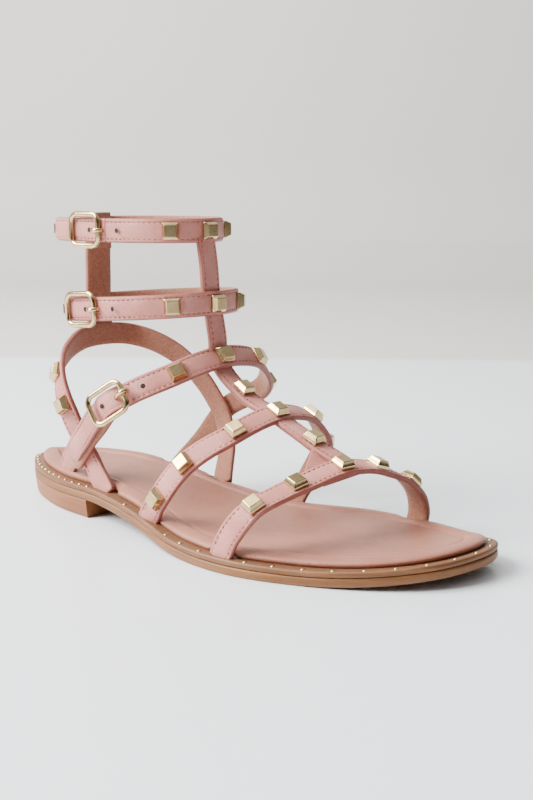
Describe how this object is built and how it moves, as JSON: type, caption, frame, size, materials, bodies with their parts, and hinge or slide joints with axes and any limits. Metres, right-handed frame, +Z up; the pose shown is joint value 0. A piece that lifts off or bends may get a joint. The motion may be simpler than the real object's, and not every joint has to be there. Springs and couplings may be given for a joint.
{
  "type": "studded ankle strap sandal",
  "caption": "flat leather sandal for a right foot: studded straps over the toes and instep, a heel sling and buckled ankle straps on a thin sole with a low heel block",
  "frame": {"origin": "centre of the footprint box of the whole shoe, on the floor", "axes": "X from heel to toe, Y to the inner (big toe) side, Z up"},
  "size_m": [0.25, 0.1022, 0.1351],
  "materials": {
    "upper_leather": "smooth pink leather, satin",
    "insole_leather": "padded pink leather, satin",
    "midsole_leather": "tan leather edge, waxed",
    "outsole_leather": "tan sole leather, waxed edge",
    "heel_stack": "stacked tan leather, waxed",
    "gold": "pale gold plated, polished"
  },
  "bodies": {
    "root": {"outsole": "outsole_leather", "heel": "heel_stack", "midsole": "midsole_leather", "insole": "insole_leather", "upper": "upper_leather", "stud_toe_1": "gold", "stud_toe_2": "gold", "stud_toe_3": "gold", "stud_toe_4": "gold", "stud_toe_5": "gold", "stud_mid_1": "gold", "stud_mid_2": "gold", "stud_mid_3": "gold", "stud_mid_4": "gold", "stud_mid_5": "gold", "stud_mid_6": "gold", "stud_instep_1": "gold", "stud_instep_2": "gold", "stud_instep_3": "gold", "stud_instep_4": "gold", "stud_sling_1": "gold", "stud_sling_2": "gold", "stud_sling_3": "gold", "stud_sling_4": "gold", "stud_tie_1": "gold", "stud_tie_2": "gold", "stud_lower_1": "gold", "stud_lower_2": "gold", "stud_lower_3": "gold", "stud_lower_4": "gold", "stud_lower_5": "gold", "stud_lower_6": "gold", "stud_upper_1": "gold", "stud_upper_2": "gold", "stud_upper_3": "gold", "stud_upper_4": "gold", "stud_upper_5": "gold", "buckle_upper_frame": "gold", "buckle_upper_prong": "gold", "buckle_lower_frame": "gold", "buckle_lower_prong": "gold", "buckle_instep_frame": "gold", "buckle_instep_prong": "gold"}
  },
  "joints": []
}
